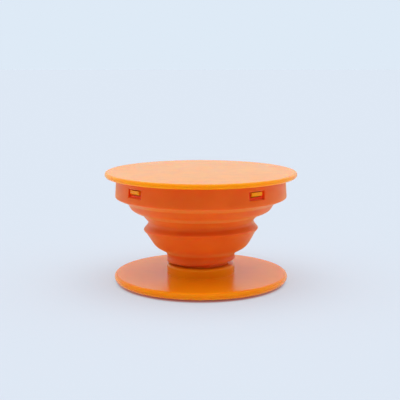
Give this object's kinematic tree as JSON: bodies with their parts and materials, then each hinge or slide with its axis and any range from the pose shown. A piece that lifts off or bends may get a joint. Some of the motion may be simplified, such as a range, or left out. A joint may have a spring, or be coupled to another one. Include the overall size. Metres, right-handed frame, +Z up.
{
  "type": "collapsible phone grip and stand",
  "caption": "Collapsible phone grip: a thin disc snapped onto a soft stepped bellows that folds flat, turning on the snap head of a round base disc with an adhesive pad.",
  "frame": {"origin": "centre of the liner's underside, on the surface that the grip stands on", "axes": "+Z up along the axis of the grip, -Y towards the viewer of the picture"},
  "size_m": [0.0404, 0.0404, 0.0235],
  "materials": {
    "disc_plastic": "glossy moulded plastic",
    "bellows_rubber": "satin soft plastic",
    "pad_foam": "matte acrylic foam",
    "liner_film": "waxy film"
  },
  "bodies": {
    "base": {"base_disc": "disc_plastic", "adhesive_pad": "pad_foam", "release_liner": "liner_film"},
    "bellows_body": {"bellows": "bellows_rubber"},
    "top": {"top_disc": "disc_plastic"}
  },
  "joints": [
    {"name": "swivel", "type": "hinge", "parent": "base", "child": "bellows_body", "pos_m": [0, 0, 0.00395], "axis": [0, 0, 1], "continuous": true},
    {"name": "collapse", "type": "slide", "parent": "bellows_body", "child": "top", "axis": [0, 0, -1], "range_m": [0, 0.016], "deforming": ["bellows"]}
  ]
}
